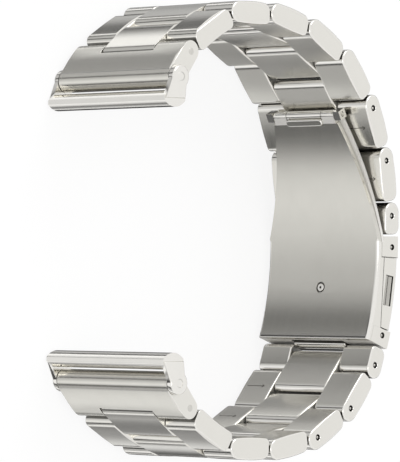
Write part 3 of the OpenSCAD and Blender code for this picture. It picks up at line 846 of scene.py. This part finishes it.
def add_tab(mesh, centre):
    """A raised tab with round ends on the plate, just under the hinge's barrel."""
    tab = bmesh.new()
    half_step = Matrix.Rotation(math.pi / TAB_STEPS, 4, "Z")
    bmesh.ops.create_circle(
        tab, cap_ends=True, segments=TAB_STEPS, radius=TAB_R,
        matrix=Matrix.Translation((0, 0, -TAB_SINK)) @ half_step,
    )
    for vert in tab.verts:
        vert.co.y += math.copysign(TAB_W / 2 - TAB_R, vert.co.y)
    for item in bmesh.ops.extrude_face_region(tab, geom=tab.faces[:])["geom"]:
        if isinstance(item, bmesh.types.BMVert):
            item.co.z = TAB_RISE
    bmesh.ops.recalc_face_normals(tab, faces=tab.faces)
    rim = edges_where(tab, lambda p: p.z > TAB_RISE - CLOSE)
    break_edges(tab, rim, TAB_RIM, 4)
    hinge = pin_at("hinge_pin")
    angle = math.atan2(hinge.y - centre.y, hinge.x - centre.x) - TAB_DROP / WRIST_R
    bmesh.ops.transform(tab, matrix=clasp_place(centre, angle), verts=tab.verts)
    join(mesh, tab)


def near_hinge(face, reach):
    hinge = pin_at("hinge_pin")
    return all(from_axis(vert.co, hinge) < reach for vert in face.verts)


def on_barrel(face):
    """Tells the narrow faces of a hinge barrel from the flat walls beside it."""
    return near_hinge(face, BARREL_REACH) and face.calc_area() < BARREL_FACE


def add_plate(centre, grain):
    """The long inner plate. Its side edges are rolled where it has its full width, and
    its lower end has a bright lip."""
    mesh = cad_copy("clasp_plate")

    def on_inner_face(p):
        return from_axis(p, centre) < WRIST_R + CURVE_NEAR

    def on_side(p):
        return abs(p.z - lift) < CLOSE or abs(p.z - lift - STRAP_W) < CLOSE

    def rise(edge):
        return abs(edge.verts[0].co.z - edge.verts[1].co.z)

    rolled = edges_where(
        mesh, lambda p: on_inner_face(p) and on_side(p) and p.x > centre.x + ROLL_FROM
    )
    break_edges(mesh, [edge for edge in rolled if rise(edge) < CLOSE], ROLL_R, 4)
    lip = [
        edge for edge in edges_where(mesh, lambda p: on_inner_face(p) and p.x > centre.x)
        if edge.is_manifold and edge.calc_face_angle() > LIP_ANGLE and rise(edge) > LIP_LONG
    ]
    break_edges(mesh, lip, LIP_R, 4, clamp=False)
    for face in mesh.faces:
        if not is_cap(face) and from_axis(face.calc_center_median(), centre) > SKIRT_R:
            face.material_index = DARK
        if near_hinge(face, HINGE_REACH) and not is_cap(face):
            face.material_index = BRIGHT if on_barrel(face) else DARK
    break_sharp(mesh, PLATE_EDGE)
    add_tab(mesh, centre)
    make_piece(
        mesh, "inner_clasp_plate", PLATE_FINISHES, "clasp_plate", grain=grain
    )


def add_latch_box(centre, grain):
    """The box: its outer long edges are well rounded, and its narrow gaps are painted dark, as
    shade.
    """
    mesh = cad_copy("latch_box")
    reach = max(from_axis(vert.co, centre) for vert in mesh.verts)

    def on_outer_face(p):
        return from_axis(p, centre) > reach - CURVE_NEAR

    for face in mesh.faces:
        if not is_cap(face) and not all(on_outer_face(vert.co) for vert in face.verts):
            face.material_index = DARK
    sides = [
        edge for edge in edges_where(mesh, on_outer_face)
        if any(is_cap(face) for face in edge.link_faces)
    ]
    break_edges(mesh, sides, BOX_ROUND, 4)
    break_sharp(mesh, BOX_EDGE)
    make_piece(mesh, "latch_cover", PLAIN, "latch_box", grain=grain)


def add_button(place, way, centre, grain):
    """A push button whose end is scooped for a fingernail. way points outwards."""
    node = f"{place}_push_button"
    mesh = cad_copy(node)
    outside = max(vert.co.z * way for vert in mesh.verts)
    end = [f for f in mesh.faces if abs(f.calc_center_median().z * way - outside) < CLOSE][0]
    middle = end.calc_center_median() - centre
    out = Vector((middle.x, middle.y, 0)).normalized()
    low = min(vert.co.dot(out) for vert in end.verts)
    high = max(vert.co.dot(out) for vert in end.verts)
    for share in SCOOP_CUTS:
        cut_across(mesh, out * (low + (high - low) * share), out)
    for vert in mesh.verts:
        share = (vert.co.dot(out) - low) / (high - low)
        if abs(vert.co.z * way - outside) < CLOSE and share > SCOOP_FROM:
            turn = math.pi * (share - SCOOP_FROM) / SCOOP_SPAN
            vert.co.z -= way * SCOOP_DEPTH * math.sin(turn)
    mesh.normal_update()
    break_sharp(mesh, FINE_EDGE)
    make_piece(mesh, f"{place}_button", PIN, node, grain=grain)


def add_arm(grain):
    """The folding arm: its barrel and ears are bright, its hidden outer face is matt."""
    mesh = cad_copy("folding_arm")
    narrow_recess(mesh, "arm_pin")
    paint([face for face in mesh.faces if on_barrel(face) and not is_cap(face)], BRIGHT)
    break_sharp(mesh, FINE_EDGE)
    make_piece(mesh, "outer_folding_arm", HIDDEN, "folding_arm", grain=grain)


def add_rivet(centre):
    """The catch post, with the head of its rivet on the plate: a bright head between a ring
    and a pit in the middle, both painted dark as shade."""
    mesh = cad_copy("catch_post")
    foot = [vert.co for vert in mesh.verts if from_axis(vert.co, centre) < FOOT_REACH]
    middle = sum(foot, Vector()) / len(foot)
    head = lathe(RIVET)
    # The ring and the pit are painted dark, as shade
    for face in head.faces:
        out = from_axis(face.calc_center_median(), Vector())
        bright = RIVET_PIT_R < out < RIVET_HEAD_R - CLOSE
        face.material_index = BRIGHT if bright else DARK
    angle = math.atan2(middle.y - centre.y, middle.x - centre.x)
    bmesh.ops.transform(head, matrix=clasp_place(centre, angle), verts=head.verts)
    break_sharp(mesh, POST_EDGE)
    join(mesh, head)
    make_piece(mesh, "catch_rivet", POST_FINISHES, "catch_post")


def add_clasp():
    outward = Vector((math.cos(ARM_PIN_ANGLE), math.sin(ARM_PIN_ANGLE), 0))
    centre = pin_at("arm_pin") - outward * ARM_PIN_R
    grain = clasp_grain(centre)
    add_plate(centre, grain)
    dressed(
        "plate_end_lugs", "plate_end_block", HIDDEN, PLATE_EDGE, grain,
        pin="plate_end_pin",
    )
    add_arm(grain)
    add_latch_box(centre, grain)
    add_rivet(centre)
    dressed("hinge_rod", "hinge_pin", PIN, FINE_EDGE)
    for place, way in (("upper", 1), ("lower", -1)):
        add_button(place, way, centre, grain)
        nodes[f"{place}_button_spring"].material_slots[0].material = spring_steel


def add_shown_pin(name):
    """A pin whose ends show: each narrows to a small domed tip in its recess."""
    low, high = (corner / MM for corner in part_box(name))
    tip = PIN_TIP + [((high.x - low.x) / 2, PIN_SHOULDER)]
    profile = [(r, low.z - PIN_TIP_OUT + up) for r, up in tip]
    profile += [(r, high.z + PIN_TIP_OUT - up) for r, up in reversed(tip)]
    place = Matrix.Translation(((low.x + high.x) / 2, (low.y + high.y) / 2, 0))
    make_piece(lathe(profile), f"turned_{name}", PIN, name, place)


def add_pins():
    shown = ["arm_pin", "plate_end_pin"]
    covered = ["upper_end_link_pin", "lower_end_link_pin"]
    for half, links in HALVES.items():
        first_open = links["first_open"]
        shown += [f"{half}_link_{k}_pin" for k in range(first_open, links["count"] + 1)]
        covered += [f"{half}_link_{k}_pin" for k in range(FIRST_FULL, first_open)]
    for name in shown:
        add_shown_pin(name)
    for name in covered:
        dressed(f"turned_{name}", name, PIN, PIN_EDGE)


def add_ground_end(mesh, place, turn):
    """The end of the pin that is ground nearly flush with the side, a faint disc."""
    disc = lathe(GROUND_END)
    paint(disc.faces, SPOT)
    where = Matrix.Translation(place) @ Matrix.Rotation(turn, 4, "X")
    bmesh.ops.transform(disc, matrix=where, verts=disc.verts)
    join(mesh, disc)


def add_end_piece(half):
    """The end link: the pocket for the next link's tongue is painted dark inside, as shade."""
    node = f"{half}_end_link"
    mesh = cad_copy(node)
    pin = pin_at(f"{node}_pin")
    for face in mesh.faces:
        place = face.calc_center_median()
        if not is_cap(face) and from_axis(place, pin) < POCKET_REACH:
            toward = Vector((pin.x - place.x, pin.y - place.y, 0))
            if face.normal.dot(toward.normalized()) > ROUGHLY:
                face.material_index = DARK
    break_sharp(mesh, END_EDGE)
    for z, turn in zip(heights(node), (math.pi, 0)):
        add_ground_end(mesh, Vector((pin.x, pin.y, z)), turn)
    make_piece(mesh, f"{half}_end_piece", END_FINISHES, node)


def add_adapter(half):
    """The adapter with its ears well rounded outside, and its bar flush with them."""
    node, bar_node = f"{half}_adapter", f"{half}_bar_pin"
    mesh = cad_copy(node)
    bar = pin_at(bar_node)
    low, high = heights(node)

    def on_ear(p):
        outside = p.z < low + CLOSE or p.z > high - CLOSE
        return outside and from_axis(p, bar) > EAR_REACH

    rim = [
        edge for edge in edges_where(mesh, on_ear)
        if not all(is_cap(face) for face in edge.link_faces)
    ]
    break_edges(mesh, rim, EAR_ROUND, 5)
    break_sharp(mesh, END_EDGE)
    make_piece(mesh, f"{half}_slide_adapter", SHINY, node)
    mesh = cad_copy(bar_node)
    for vert in mesh.verts:
        vert.co.z = low + BAR_INSET if vert.co.z < (low + high) / 2 else high - BAR_INSET
    break_sharp(mesh, BAR_EDGE)
    make_piece(mesh, f"{half}_ear_bar", SHINY, bar_node)


def add_second_link(half):
    """Link 2: its side pieces reach nearly to the end link's nose."""
    first, last = (pin_at(f"{half}_{name}_pin") for name in ("end_link", "link_3"))
    middle = (first + last) / 2
    way = Vector((last.x - first.x, last.y - first.y, 0))
    half_length = way.length / 2
    way.normalize()
    for name, node, longer in (
        ("side_pieces_2", "link_2_sides", SECOND_LONGER),
        ("centre_pieces_2", "link_2_centre", 0),
    ):
        mesh = cad_copy(f"{half}_{node}")
        # Painted shade: the end walls, which face the gaps between links, are darker
        paint([face for face in mesh.faces if abs(face.normal.dot(way)) > NEARLY], DARK)
        for vert in mesh.verts:
            if (vert.co - middle).dot(way) < SECOND_END - half_length:
                vert.co -= way * longer
        break_sharp(mesh, SECOND_EDGE, 3)
        make_piece(mesh, f"{half}_{name}", BUFFED, f"{half}_{node}")


add_camera()
bpy.context.scene.view_settings.view_transform = "Standard"
add_studio()
add_floor()
add_lamp("front_softbox", at=(60, -420, 470), size=220, watts=0.3)
add_lamp("side_softbox", at=(-320, 60, 330), size=260, watts=0.45)
for half_name, links in HALVES.items():
    add_links(half_name, **links)
add_clasp()
add_pins()
for half_name in HALVES:
    add_end_piece(half_name)
    add_adapter(half_name)
    add_second_link(half_name)
